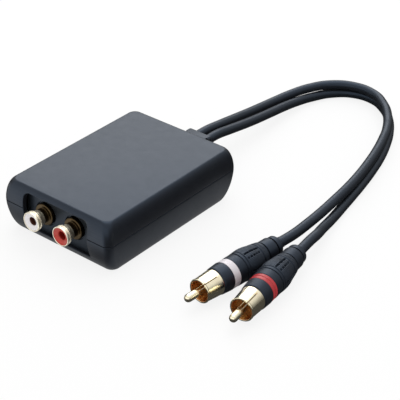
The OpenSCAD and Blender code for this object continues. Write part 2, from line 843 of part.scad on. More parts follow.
upper_shell();
lower_shell();
housing_screws();
jack_block();
jack_barrel(-1);  // jack_barrel_white
jack_barrel(1);  // jack_barrel_red
jack_insert(-1, white_plastic);  // jack_insert_white
jack_insert(1, red_plastic);  // jack_insert_red
jack_contact(-1);  // jack_contact_white
jack_contact(1);  // jack_contact_red
circuit_board();
transformer_core(-1);  // transformer_core_left
transformer_core(1);  // transformer_core_right
bobbin(-1);  // bobbin_left
bobbin(1);  // bobbin_right
winding(-1);  // winding_left
winding(1);  // winding_right
bobbin_pins();
cable_tails();
signal_leads();
shield_leads();
strain_relief();
cable_white();
cable_red();
plug_pin(route_white);  // plug_pin_white
plug_shell(route_white);  // plug_shell_white
plug_insulator(route_white);  // plug_insulator_white
plug_collar(route_white);  // plug_collar_white
plug_band(route_white, white_plastic, false);  // plug_band_white
plug_boot(route_white);  // plug_boot_white
plug_pin(route_red);  // plug_pin_red
plug_shell(route_red);  // plug_shell_red
plug_insulator(route_red);  // plug_insulator_red
plug_collar(route_red);  // plug_collar_red
plug_band(route_red, red_plastic, true);  // plug_band_red
plug_boot(route_red);  // plug_boot_red
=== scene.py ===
"""Looks of a ground loop isolator: box with two sockets, two cables and two plugs.

Lengths are in metres in the part's own frame, and MM turns millimetres into metres.
"""

import math

import bmesh
import bpy
from mathutils import Matrix, Vector


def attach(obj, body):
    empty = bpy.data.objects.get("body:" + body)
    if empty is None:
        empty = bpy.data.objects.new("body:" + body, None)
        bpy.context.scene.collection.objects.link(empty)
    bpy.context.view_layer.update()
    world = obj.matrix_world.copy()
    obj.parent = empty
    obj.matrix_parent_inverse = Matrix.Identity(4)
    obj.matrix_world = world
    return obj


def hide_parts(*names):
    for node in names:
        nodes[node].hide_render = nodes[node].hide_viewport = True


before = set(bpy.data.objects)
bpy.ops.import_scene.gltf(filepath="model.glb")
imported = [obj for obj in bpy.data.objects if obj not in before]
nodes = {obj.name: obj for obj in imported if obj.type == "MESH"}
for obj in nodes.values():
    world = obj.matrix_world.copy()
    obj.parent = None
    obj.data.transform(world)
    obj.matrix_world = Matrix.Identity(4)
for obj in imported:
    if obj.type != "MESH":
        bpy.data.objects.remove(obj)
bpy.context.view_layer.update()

MM = 0.001
TAU = 2 * math.pi

# Housing, as in the part's source
BODY_W = 56.0
BODY_L = 77.6
BODY_H = 23.0
PART_Z = 13.8
TOP_DRAW = 3.2
SIDE_DRAW = 2.8
END_DRAW = 5.4
CORNER_R = 3.2
WALL = 2.0
TOP_POWER = 1.93
BASE_POWER = 1.67
PANEL_DEPTH = 3.4
WINDOW_W = 33.6
WINDOW_Z0 = 4.6
WINDOW_Z1 = 20.8
WINDOW_R = 2.6
FRONT_Y = -BODY_L / 2
BACK_Y = BODY_L / 2
PANEL_Y = FRONT_Y + PANEL_DEPTH

# Sockets
SOCKET_X = 7.7
SOCKET_Z = 13.4
SOCKET_L = 8.1
LIP_R = 4.15
NECK_R = 3.0
BASE_R = 4.6
BORE_R = 1.65

# Strain relief
RELIEF_W = 12.5
RELIEF_H = 7.0
RELIEF_Z = 12.0
RELIEF_SEAT = 0.8
RELIEF_END = BACK_Y + 11.2

# Cables
CABLE_R = 2.1
ROUTES = {
    "white": [
        (-2.8, 50.1, 12), (-2.7, 57, 12), (-2.6, 66, 11), (-2.8, 76, 9.5), (-3, 86, 8),
        (-3, 96, 6.8), (-2.6, 106, 6), (-1.2, 116.2, 5.8), (2.2, 126.6, 6.1),
        (8.2, 135.4, 6.4), (17.6, 141, 6.4), (28.4, 140.7, 6.4), (37.6, 135, 6.4),
        (45, 126.8, 6.4), (50.8, 117.2, 6.4), (55, 107, 6.4), (58.4, 96.6, 6.4),
        (61.2, 86, 6.4), (63.5, 75.4, 6.4), (65.3, 64.6, 6.4), (66.4, 53.8, 6.2),
        (67.2, 43, 5.9), (67.8, 33, 6), (68.1, 23.2, 6.2), (67.5, 16.2, 6.2)],
    "red": [
        (2.8, 50.1, 12), (2.9, 57, 12), (3.2, 66, 10.8), (3.2, 76, 9.1), (3, 86, 7.5),
        (2.7, 96, 6.1), (2.5, 106, 4.8), (2.8, 116, 3.5), (4.6, 126, 2.5),
        (9, 135.4, 2.1), (16.6, 141.6, 2.1), (26.4, 142.8, 2.1), (35.8, 138.4, 2.1),
        (43.6, 130.6, 2.1), (49.6, 121.4, 2.1), (54.4, 111.4, 2.1), (58.3, 101, 2.1),
        (61.4, 90.2, 2.1), (64, 79.2, 2.1), (66.2, 68.2, 2.1), (68.2, 57.2, 2.1),
        (70.4, 46.4, 2.6), (72.8, 35.8, 4.2), (74.6, 30, 5.6), (75.5, 23.9, 6.2),
        (76.4, 17, 6.2)],
}

# Plugs: distances run from the tip of the pin towards the cable
PIN_R = 1.6
RIM_R = 5.0
SHELL_IN_R = 4.15
SHELL_S = 7.2
PIN_ROOT = 14.0
COLLAR_S = 15.5
BAND_S = 20.5
BOOT_S = 23.8
BOOT_E = 49.6
PLUG_L = 52.7
COLLAR_R = 5.8
BOOT_R = 6.2
# Slots in the shell: width, turn of the first in degrees, and share of the shell's length
SLOT_W = 0.38
SLOT_TURN = 30
SLOT_SHARE = 0.8

# Camera, solved from the edges of the box in the photograph
CAM_AZIMUTH = math.radians(38.848)
CAM_ELEVATION = math.radians(32.443)
CAM_ROLL = math.radians(0.604)
CAM_TARGET = Vector((18.508, 26.797, 0)) * MM
CAM_DISTANCE = 560.848 * MM
SENSOR = 36.0
PHOTO_PX = 400
CAM_FOCAL_PX = 1364.27


def add_mesh(name, verts, faces, smooth_deg=35):
    """New mesh object from points in millimetres, smooth except at edges sharper than smooth_deg."""
    mesh = bpy.data.meshes.new(name)
    mesh.from_pydata([Vector(v) * MM for v in verts], [], faces)
    mesh.validate()
    obj = bpy.data.objects.new(name, mesh)
    bpy.context.scene.collection.objects.link(obj)
    finish_mesh(obj, smooth_deg)
    return obj


def finish_mesh(obj, smooth_deg=35):
    """Points all normals outwards and sets smooth shading with sharp edges kept."""
    bm = bmesh.new()
    bm.from_mesh(obj.data)
    bmesh.ops.remove_doubles(bm, verts=bm.verts, dist=1e-7)
    bmesh.ops.recalc_face_normals(bm, faces=bm.faces)
    bm.to_mesh(obj.data)
    bm.free()
    obj.data.shade_smooth()
    obj.data.set_sharp_from_angle(angle=math.radians(smooth_deg))


def cut(obj, cutter):
    """Takes the cutter's shape out of obj and removes the cutter."""
    mod = obj.modifiers.new("cut", "BOOLEAN")
    mod.operation = "DIFFERENCE"
    mod.solver = "EXACT"
    mod.object = cutter
    bpy.context.view_layer.update()
    depsgraph = bpy.context.evaluated_depsgraph_get()
    mesh = bpy.data.meshes.new_from_object(obj.evaluated_get(depsgraph))
    obj.modifiers.clear()
    obj.data = mesh
    bpy.data.objects.remove(cutter)
    finish_mesh(obj)


def place(obj, body, slot, material, *replaced):
    """Puts a finished piece on its body with its material, in place of CAD nodes; its slot is not used."""
    obj.data.materials.clear()
    obj.data.materials.append(material)
    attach(obj, body)
    if replaced:
        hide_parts(*replaced)
    return obj


def eased(points, steps=5):
    """Outline with rounded corners: a point (r, s, radius) is turned into an arc of that radius."""
    out = []
    n = len(points)
    for i, p in enumerate(points):
        if len(p) < 3 or i in (0, n - 1):
            out.append((p[0], p[1]))
            continue
        here = Vector((p[0], p[1]))
        before = Vector(points[i - 1][:2]) - here
        after = Vector(points[i + 1][:2]) - here
        reach = min(p[2], before.length * 0.45, after.length * 0.45)
        start = here + before.normalized() * reach
        end = here + after.normalized() * reach
        for k in range(steps + 1):
            t = k / steps
            q = start * (1 - t) ** 2 + here * 2 * t * (1 - t) + end * t * t
            out.append((q.x, q.y))
    return out


def lathe(name, outline, segments=96, closed=False, relief=None, smooth_deg=35):
    """Turns an outline of (radius, distance) points round the +Y axis.

    closed joins the last point to the first, for a ring. relief(angle, distance) is taken
    off the radius of every point.
    """
    verts = []
    faces = []
    rows = []
    for r, s in outline:
        if r < 1e-6:
            rows.append([len(verts)] * segments)
            verts.append((0, s, 0))
            continue
        row = []
        for k in range(segments):
            a = TAU * k / segments
            d = relief(a, s) if relief else 0
            row.append(len(verts))
            verts.append(((r - d) * math.cos(a), s, (r - d) * math.sin(a)))
        rows.append(row)
    pairs = list(zip(rows, rows[1:]))
    if closed:
        pairs.append((rows[-1], rows[0]))
    for a, b in pairs:
        for k in range(segments):
            j = (k + 1) % segments
            face = [a[k], a[j], b[j], b[k]]
            face = [v for i, v in enumerate(face) if v not in face[:i]]
            if len(face) > 2:
                faces.append(face)
    return add_mesh(name, verts, faces, smooth_deg)


# Materials


# Scales count features per metre, and ranges are shares of the stated roughness
RAMP_ENDS = (0.3, 0.7)
GRAIN_DEPTH = 0.00004
MOTTLE_SCALE = 90
GLOSS_SCALE = 260
GLOSS_RANGE = (0.93, 1.07)
METAL_SPREAD = 0.08
METAL_MOTTLE_SCALE = 400
METAL_GLOSS_SCALE = 900
METAL_GLOSS_RANGE = (0.8, 1.25)


def new_material(name):
    """New material, its node tree and its shader."""
    mat = bpy.data.materials.new(name)
    mat.use_nodes = True
    nt = mat.node_tree
    return mat, nt, nt.nodes["Principled BSDF"]


def noise_node(nt, scale, detail=3.0, rough=0.55, stretch=(1, 1, 1)):
    """Noise in object coordinates."""
    coords = nt.nodes.new("ShaderNodeTexCoord")
    mapping = nt.nodes.new("ShaderNodeMapping")
    mapping.inputs["Scale"].default_value = stretch
    noise = nt.nodes.new("ShaderNodeTexNoise")
    noise.inputs["Scale"].default_value = scale
    noise.inputs["Detail"].default_value = detail
    noise.inputs["Roughness"].default_value = rough
    nt.links.new(coords.outputs["Object"], mapping.inputs["Vector"])
    nt.links.new(mapping.outputs["Vector"], noise.inputs["Vector"])
    return noise.outputs["Fac"]


def ramp(nt, value, low, high):
    """Colour that goes from low to high as value crosses the middle of its range."""
    node = nt.nodes.new("ShaderNodeValToRGB")
    for element, position, colour in zip(node.color_ramp.elements, RAMP_ENDS, (low, high)):
        element.position = position
        element.color = (*colour, 1)
    nt.links.new(value, node.inputs["Fac"])
    return node.outputs["Color"]


def bump(nt, bsdf, value, strength):
    """Fine relief that follows value."""
    node = nt.nodes.new("ShaderNodeBump")
    node.inputs["Strength"].default_value = strength
    node.inputs["Distance"].default_value = GRAIN_DEPTH
    nt.links.new(value, node.inputs["Height"])
    nt.links.new(node.outputs["Normal"], bsdf.inputs["Normal"])


def grey(v):
    return (v, v, v)


def plastic(name, colour, rough, grain=0.0, grain_scale=2500, spread=0.12, tint=(1, 1, 1)):
    """Moulded plastic: slight mottling of colour and gloss over a fine moulded grain."""
    mat, nt, bsdf = new_material(name)
    dark = tuple(c * (1 - spread) for c in colour)
    light = tuple(c * (1 + spread) for c in colour)
    mottle = noise_node(nt, MOTTLE_SCALE, 4)
    nt.links.new(ramp(nt, mottle, dark, light), bsdf.inputs["Base Color"])
    gloss = noise_node(nt, GLOSS_SCALE, 3)
    low, high = [grey(rough * share) for share in GLOSS_RANGE]
    nt.links.new(ramp(nt, gloss, low, high), bsdf.inputs["Roughness"])
    bsdf.inputs["Specular Tint"].default_value = (*tint, 1)
    if grain:
        bump(nt, bsdf, noise_node(nt, grain_scale, 2, 0.6), grain)
    return mat


def metal(name, colour, rough, streak=(1, 1, 1)):
    """Plated metal, slightly uneven in colour and gloss; streak makes that finer along an axis."""
    mat, nt, bsdf = new_material(name)
    dark = tuple(c * (1 - METAL_SPREAD) for c in colour)
    light = tuple(min(1, c * (1 + METAL_SPREAD)) for c in colour)
    mottle = noise_node(nt, METAL_MOTTLE_SCALE, 3, 0.6, streak)
    nt.links.new(ramp(nt, mottle, dark, light), bsdf.inputs["Base Color"])
    bsdf.inputs["Metallic"].default_value = 1
    gloss = noise_node(nt, METAL_GLOSS_SCALE, 2, 0.5, streak)
    low, high = [grey(rough * share) for share in METAL_GLOSS_RANGE]
    nt.links.new(ramp(nt, gloss, low, high), bsdf.inputs["Roughness"])
    return mat


# Bluish tint on the reflections of the black plastics: painted colour of the light, not a colour of the
# plastic
BLUE_LIGHT_TINT = (0.52, 0.71, 1.0)
HOUSING = plastic("housing plastic", (0.0095, 0.0095, 0.011), 0.36, 0.2, 3200, tint=BLUE_LIGHT_TINT)
PANEL = plastic("panel plastic", (0.006, 0.007, 0.008), 0.4, 0.1, tint=BLUE_LIGHT_TINT)
BOOT = plastic("boot plastic", (0.01, 0.011, 0.014), 0.42, 0.15, 4000, tint=BLUE_LIGHT_TINT)
JACKET = plastic("cable jacket", (0.01, 0.011, 0.013), 0.4, 0.2, 1500, tint=BLUE_LIGHT_TINT)
GOLD = metal("gold plate", (0.97, 0.86, 0.63), 0.2)
# The socket's barrel is the same gold plate as its base, painted paler as a painted highlight on its cone
HIGHLIT_GOLD = metal("socket barrel painted highlight", (1.0, 0.9, 0.74), 0.42)
# The socket's base and neck are the same gold plate, painted near-black as painted shade
SHADED_GOLD = metal("socket base painted shade", (0.075, 0.052, 0.026), 0.28)
# Darker colours for the wall of each socket's centre hole: painted shade deep in the hole
HOLE_SHADES = {
    "white": plastic("white socket hole painted shade", (0.09, 0.03, 0.022), 0.4, 0.1),
    "red": plastic("red socket hole painted shade", (0.3, 0.014, 0.008), 0.4, 0.1),
}
CONTACT = metal("socket contact", (0.26, 0.1, 0.06), 0.45)
# Darker, more orange gold for the inside of the plug shells: painted shade inside the shell
SHELL_INSIDE_SHADE = metal("shell inside painted shade", (0.85, 0.5, 0.22), 0.3)
WHITE = plastic("white plastic", (0.86, 0.83, 0.84), 0.3, spread=0.03)
RED = plastic("red plastic", (0.46, 0.03, 0.015), 0.34, spread=0.08)
RED_BAND = plastic("red band", (0.42, 0.025, 0.03), 0.35, spread=0.08)
WHITE_BAND = plastic("white band", (0.66, 0.63, 0.66), 0.35, spread=0.03)
INSULATOR = plastic("insulator", (0.5, 0.4, 0.27), 0.45, 0.1)
BOARD = plastic("board", (0.03, 0.16, 0.07), 0.35, 0.1, 1200)
CORE = metal("core plates", (0.32, 0.33, 0.35), 0.45, (1, 1, 12))
NYLON = plastic("bobbin nylon", (0.66, 0.56, 0.36), 0.5, 0.1)
COPPER = metal("copper wire", (0.62, 0.26, 0.1), 0.35, (1, 14, 1))
TINNED = metal("tinned metal", (0.72, 0.72, 0.74), 0.3)
STEEL = metal("zinc steel", (0.5, 0.51, 0.55), 0.32)

# Pieces shown as their own solids, most of them inside the box
CAD_LOOKS = {
    "housing_screws": STEEL,
    "jack_block": PANEL,
    "jack_contact_white": CONTACT,
    "jack_contact_red": CONTACT,
    "circuit_board": BOARD,
    "transformer_core_left": CORE,
    "transformer_core_right": CORE,
    "bobbin_left": NYLON,
    "bobbin_right": NYLON,
    "winding_left": COPPER,
    "winding_right": COPPER,
    "bobbin_pins": TINNED,
    "cable_tails": JACKET,
    "signal_leads": RED,
    "shield_leads": COPPER,
}
for node_name, look in CAD_LOOKS.items():
    nodes[node_name].data.materials.clear()
    nodes[node_name].data.materials.append(look)


# Housing


# Parting groove: depth, half of its height, and radius of the edges beside it
GROOVE_D = 0.3
GROOVE_H = 0.16
GROOVE_EDGE = 0.12
WALL_STEPS = 26
CORNER_STEPS = 10


def drawn(t, draw, power):
    """How far a curved wall has drawn in, t of the way from the parting line to the flat face."""
    return draw * (1 - max(0.0, 1 - t ** power) ** (1 / power))


def plan(ix, iy, z):
    """Rounded rectangle at height z, drawn in by ix and iy."""
    x = BODY_W / 2 - ix - CORNER_R
    y = BODY_L / 2 - iy - CORNER_R
    out = []
    for quarter, (cx, cy) in enumerate(((x, y), (-x, y), (-x, -y), (x, -y))):
        for k in range(CORNER_STEPS + 1):
            a = math.radians(90 * quarter + 90 * k / CORNER_STEPS)
            out.append((cx + CORNER_R * math.cos(a), cy + CORNER_R * math.sin(a), z))
    return out


def loft(name, rings):
    """Closed solid through rings of equal length."""
    n = len(rings[0])
    verts = [p for ring in rings for p in ring]
    faces = [list(range(n))]
    faces.append([(len(rings) - 1) * n + i for i in range(n)])
    for j in range(len(rings) - 1):
        for i in range(n):
            k = (i + 1) % n
            faces.append([j * n + i, j * n + k, (j + 1) * n + k, (j + 1) * n + i])
    return add_mesh(name, verts, faces)


def half_rings(face, dx, dy, power):
    """Rings of one half, from the parting groove out to the flat face."""
    away = 1 if face > PART_Z else -1
    rings = [plan(GROOVE_D, GROOVE_D, PART_Z + away * 0.02)]
    rings.append(plan(GROOVE_D, GROOVE_D, PART_Z + away * GROOVE_H * 0.5))
    start = GROOVE_H + GROOVE_EDGE
    for k in range(4):
        a = math.radians(90 * k / 3)
        back = GROOVE_EDGE * (1 - math.sin(a))
        rings.append(plan(back, back, PART_Z + away * (start - GROOVE_EDGE * math.cos(a))))
    span = abs(face - PART_Z)
    for k in range(1, WALL_STEPS + 1):
        t = math.sin(math.radians(90 * k / WALL_STEPS))
        z = PART_Z + away * span * t
        if t * span <= start:
            continue
        rings.append(plan(drawn(t, dx, power), drawn(t, dy, power), z))
    return rings


def front_surface(z):
    """How far behind the widest part of the front the curved front face is at height z."""
    if z > PART_Z:
        return drawn(min(1, (z - PART_Z) / (BODY_H - PART_Z)), TOP_DRAW, TOP_POWER)
    return drawn(min(1, (PART_Z - z) / PART_Z), END_DRAW, BASE_POWER)


# Recess: radius of its lower corners and of its edge, and distance of the points on its sides
WINDOW_LOW_R = 0.7
WINDOW_EASE = 0.3
WINDOW_GAP = 0.8


def window_outline():
    """Outline of the recess as (x, z) points, with larger corners at the top."""
    right = WINDOW_W / 2
    top = WINDOW_Z1 - WINDOW_R
    low = WINDOW_Z0 + WINDOW_LOW_R
    corners = (
        (right - WINDOW_R, top, WINDOW_R, 0), (WINDOW_R - right, top, WINDOW_R, 90),
        (WINDOW_LOW_R - right, low, WINDOW_LOW_R, 180), (right - WINDOW_LOW_R, low, WINDOW_LOW_R, 270))
    points = []
    for cx, cz, radius, a0 in corners:
        for k in range(9):
            a = math.radians(a0 + 90 * k / 8)
            points.append((cx + radius * math.cos(a), cz + radius * math.sin(a)))
    # Points along the straight sides let the edge follow the curved front
    dense = []
    for p, q in zip(points, points[1:] + points[:1]):
        dense.append(p)
        extra = int(math.dist(p, q) // WINDOW_GAP)
        for k in range(1, extra):
            t = k / extra
            dense.append((p[0] + (q[0] - p[0]) * t, p[1] + (q[1] - p[1]) * t))
    return dense


def window_cutter():
    """Recess with an eased edge that follows the curved front."""
    base = window_outline()
    x = WINDOW_W / 2
    centre_z = (WINDOW_Z0 + WINDOW_Z1) / 2

    def ring(grow, depth):
        """The outline made larger by grow, at depth below the curved front."""
        out = []
        for px, pz in base:
            gx = px * (1 + grow / x)
            gz = centre_z + (pz - centre_z) * (1 + grow / (centre_z - WINDOW_Z0))
            out.append((gx, FRONT_Y + front_surface(gz) + depth, gz))
        return out

    rings = [[(px, FRONT_Y - 1, pz) for px, _, pz in ring(WINDOW_EASE * 2, 0)]]
    rings += [ring(WINDOW_EASE * 2, -WINDOW_EASE), ring(WINDOW_EASE, 0)]
    for k in range(1, 4):
        a = math.radians(90 * k / 3)
        rings.append(ring(WINDOW_EASE * (1 - math.sin(a)), WINDOW_EASE * (1 - math.cos(a))))
    rings.append([(px, PANEL_Y + 0.3, pz) for px, pz in base])
    return loft("window cutter", rings)


def inner_rings(face, dx, dy, power):
    """Rings of the space inside one half."""
    away = 1 if face > PART_Z else -1
    inner = face - away * WALL
    span = abs(inner - PART_Z)
    rings = [plan(WALL, WALL, PART_Z - away * 1.0)]
    for k in range(13):
        t = math.sin(math.radians(90 * k / 12))
        rings.append(plan(WALL + drawn(t, dx, power), WALL + drawn(t, dy, power),
                          PART_Z + away * span * t))
    return rings


def box_cutter(lo, hi):
    """Box between two opposite corners."""
    (x0, y0, z0), (x1, y1, z1) = lo, hi
    verts = [(x, y, z) for z in (z0, z1) for x, y in ((x0, y0), (x1, y0), (x1, y1), (x0, y1))]
    faces = [(0, 1, 2, 3), (4, 5, 6, 7), (0, 1, 5, 4), (1, 2, 6, 5), (2, 3, 7, 6), (3, 0, 4, 7)]
    return add_mesh("box cutter", verts, faces)


SCREW_X = 21.0
SCREW_Y = 28.0
WELL_R = 2.7
WELL_CHAMFER = 0.3
SEAT_GAP = 0.05


def build_shell(name, face, dx, dy, power):
    """One half of the housing, hollow, with its share of the recess and of the relief's seat."""
    obj = loft(name, half_rings(face, dx, dy, power))
    cut(obj, loft("space", inner_rings(face, dx, dy, power)))
    cut(obj, window_cutter())
    x = RELIEF_W / 2 + SEAT_GAP
    cut(obj, box_cutter(
        (-x, BACK_Y - RELIEF_SEAT - SEAT_GAP, RELIEF_Z - RELIEF_H / 2 - SEAT_GAP),
        (x, BACK_Y + 1, RELIEF_Z + RELIEF_H / 2 + SEAT_GAP)))
    return obj


def well_cutter(x, y):
    """Well for a screw in the underside, chamfered at its mouth."""
    mouth = WELL_R + WELL_CHAMFER
    end = WALL + 1
    outline = [(0, -1), (mouth, -1), (mouth, 0), (WELL_R, WELL_CHAMFER), (WELL_R, end), (0, end)]
    well = lathe("well", outline, 48)
    upright = Matrix.Rotation(math.radians(90), 4, "X")
    well.matrix_world = Matrix.Translation((x * MM, y * MM, 0)) @ upright
    return well


upper = build_shell("upper_shell_skin", BODY_H, TOP_DRAW, TOP_DRAW, TOP_POWER)
place(upper, "root", "housing_plastic", HOUSING, "upper_shell")
lower = build_shell("lower_shell_skin", 0, SIDE_DRAW, END_DRAW, BASE_POWER)
for sx in (-1, 1):
    for sy in (-1, 1):
        cut(lower, well_cutter(sx * SCREW_X, sy * SCREW_Y))
place(lower, "root", "housing_plastic", HOUSING, "lower_shell")


# Strain relief


RELIEF_R = 1.3
RELIEF_EASE = 0.8
# Notches: depth, width, distance of the first, pitch, and room kept at the far end
NOTCH_D = 1.1
NOTCH_W = 1.0
NOTCH_START = 3.2
NOTCH_PITCH = 2.6
NOTCH_END = 2.4


def relief_ring(back, y):
    """Outline of the block at y, with its sides moved in by back."""
    half_w = RELIEF_W / 2 - back
    half_h = RELIEF_H / 2 - back
    r = max(RELIEF_R - back, 0.5)
    out = []
    for quarter, (sx, sz) in enumerate(((1, 1), (-1, 1), (-1, -1), (1, -1))):
        for k in range(6):
            a = math.radians(90 * quarter + 90 * k / 5)
            x = sx * (half_w - r) + r * math.cos(a)
            out.append((x, y, RELIEF_Z + sz * (half_h - r) + r * math.sin(a)))
    return out


def strain_relief():
    """Block with an eased far end and notches in both sides."""
    start = BACK_Y - RELIEF_SEAT
    flat_end = RELIEF_END - RELIEF_EASE
    rings = [relief_ring(0, start), relief_ring(0, flat_end)]
    for k in range(1, 5):
        a = math.radians(90 * k / 4)
        rings.append(relief_ring(RELIEF_EASE * (1 - math.cos(a)), flat_end + RELIEF_EASE * math.sin(a)))
    obj = loft("strain_relief_block", rings)
    y = start + NOTCH_START
    while y < RELIEF_END - NOTCH_END:
        for side in (-1, 1):
            wall = side * RELIEF_W / 2
            x0, x1 = sorted((wall - side * NOTCH_D, wall + side))
            cut(obj, box_cutter((x0, y, 0), (x1, y + NOTCH_W, 20)))
        y += NOTCH_PITCH
    return obj


place(strain_relief(), "root", "housing_plastic", HOUSING, "strain_relief")


# Sockets


# Wall of the lip
RIM_WALL = 0.45


def socket_matrix(side):
    """Frame of a socket: its lip is at the origin and its axis runs back to the panel."""
    return Matrix.Translation((side * SOCKET_X * MM, (PANEL_Y - SOCKET_L) * MM, SOCKET_Z * MM))


def build_socket(colour, side, paint):
    """Barrel with its rolled lip, base collar and dished coloured insert."""
    lip = LIP_R
    bore = lip - RIM_WALL
    neck = NECK_R
    length = SOCKET_L
    # The barrel's paler gold is a painted highlight
    barrel = lathe("socket_barrel_" + colour, eased([
        (bore, 2.8), (bore, 0.1, 0.15), (bore + 0.1, 0, 0.1), (lip - 0.2, 0, 0.2), (lip, 0.25, 0.2),
        (lip, 0.9, 0.2), (lip - 0.15, 1.1, 0.1), (lip - 0.5, 1.2, 0.08), (lip - 0.5, 1.55, 0.08),
        (lip - 0.15, 1.7, 0.1), (lip - 0.15, 2.05, 0.3), (neck + 0.62, 2.9, 0.8), (neck + 0.3, 3.8, 0.6),
        (neck + 0.15, 4.6)]), 128)
    barrel.matrix_world = socket_matrix(side)
    place(barrel, "root", "gold_plate", HIGHLIT_GOLD, "jack_barrel_" + colour)

    # The base's near-black gold is painted shade
    collar = lathe("socket_base_" + colour, eased([
        (neck - 0.2, 4.6), (neck + 0.15, 4.6, 0.05), (neck + 0.05, 4.75, 0.1), (neck, 5, 0.1),
        (neck, length - 1.3, 0.2), (BASE_R - 0.3, length - 1.3, 0.2), (BASE_R, length - 1.0, 0.2),
        (BASE_R, length + 0.85), (neck - 0.2, length + 0.85)]), 128, closed=True)
    collar.matrix_world = socket_matrix(side)
    place(collar, "root", "gold_plate", SHADED_GOLD)

    face_r = bore - 0.04
    dish = 1.1
    insert = lathe("socket_insert_" + colour, eased([
        (BORE_R, 6.5), (BORE_R, dish + 0.1, 0.2), (BORE_R + 0.35, dish - 0.3, 0.3),
        (face_r - 0.9, 0.42, 0.5), (face_r - 0.35, 0.1, 0.2), (face_r - 0.1, 0.12, 0.1),
        (face_r, 0.3, 0.1), (face_r, 2.7)]), 96)
    insert.matrix_world = socket_matrix(side)
    place(insert, "root", colour + "_insert", paint, "jack_insert_" + colour)
    # The wall of the centre hole gets a darker colour as painted shade deep in the hole
    insert.data.materials.append(HOLE_SHADES[colour])
    for poly in insert.data.polygons:
        c = poly.center
        if math.hypot(c.x, c.z) < (BORE_R + 0.12) * MM and c.y > dish * MM * 0.8:
            poly.material_index = 1


build_socket("white", -1, WHITE)
build_socket("red", 1, RED)


# Plugs


def plug_matrix(route):
    """Frame of a plug in line with the last stretch of its cable, with its tip at the origin."""
    last = Vector(route[-1])
    way = (last - Vector(route[-2])).normalized()
    turn = Matrix.Rotation(math.atan2(way.y, way.x) + math.radians(90), 4, "Z")
    return Matrix.Translation((last + way * PLUG_L) * MM) @ turn


# Boot: its step, its grip, and the end of the ring behind it
STEP_S = 27.4
GRIP_S = STEP_S + 0.6
GRIP_E = 40.7
GRIP_L = GRIP_E - GRIP_S
RING_E = 46.2
RING_R = BOOT_R - 1.7
GROOVE_W = 0.95
# Slits in groups round the grip; turns are shares of a group
GROUPS = 5
DASHES = 5
SLIT_TURN = 0.07
DASH_TURN = SLIT_TURN - 0.28
SLIT_S = GRIP_S + GRIP_L * 0.15
SLIT_L = GRIP_L * 0.58
SLIT_W = 0.75
SLIT_D = 0.85
BRIDGE_SHARE = 0.8
LINE_D = 0.4
RIBS = 75
RIB_D = 0.09
TICK_SHARE = 0.75
TICK_D = 0.12
# Places along the grip, as shares of its length
LINES_AT = (0.09, 0.77)
TICKS_AT = (0.83, 0.94)
RIBS_AT = (0.12, 0.75)
# Places along the long slit, as shares of its length
BRIDGES_AT = (0.35, 0.68)


def soft_edge(x, half, blur):
    """1 inside +-half, 0 outside, with a slope of blur."""
    return max(0.0, min(1.0, (half - abs(x)) / blur + 0.5))


def slit_row(angle, turn):
    """Share of a slit's depth at an angle, for the rows that start turn of the way into a group."""
    across = (angle / TAU * GROUPS - turn + 0.5) % 1 - 0.5
    return soft_edge(across / GROUPS * TAU * BOOT_R, SLIT_W / 2, 0.14)


def grip_relief(angle, s):
    """Depth of the grip's slits and ribs at an angle and a distance."""
    u = (s - GRIP_S) / GRIP_L
    if u < 0.02 or u > 0.98:
        return 0.0
    depth = 0.0
    # Fine lines round the grip near both ends
    for line in LINES_AT:
        depth = max(depth, LINE_D * soft_edge((u - line) * GRIP_L, 0.18, 0.12))
    if not RIBS_AT[0] < u < RIBS_AT[1]:
        # Short ticks round the grip between the last line and its end
        if TICKS_AT[0] < u < TICKS_AT[1]:
            depth = max(depth, TICK_D * max(0.0, math.sin(angle * RIBS * TICK_SHARE)))
        return depth
    v = (s - SLIT_S) / SLIT_L
    ends = soft_edge((v - 0.5) * SLIT_L, SLIT_L / 2, 0.3)
    # Long slit with two narrow bridges
    bridge = min(abs(v - at) for at in BRIDGES_AT) * SLIT_L
    long_slit = slit_row(angle, SLIT_TURN) * ends * (1 - BRIDGE_SHARE * soft_edge(bridge, 0.16, 0.2))
    # Row of short dashes beside it
    dash = abs((v * DASHES) % 1 - 0.3) * SLIT_L / DASHES
    dashes = slit_row(angle, DASH_TURN) * ends * soft_edge(dash, 0.3 * SLIT_L / DASHES, 0.25)
    ribs = RIB_D * (0.5 + 0.5 * math.cos(angle * RIBS))
    return max(depth, SLIT_D * long_slit, SLIT_D * dashes, ribs)


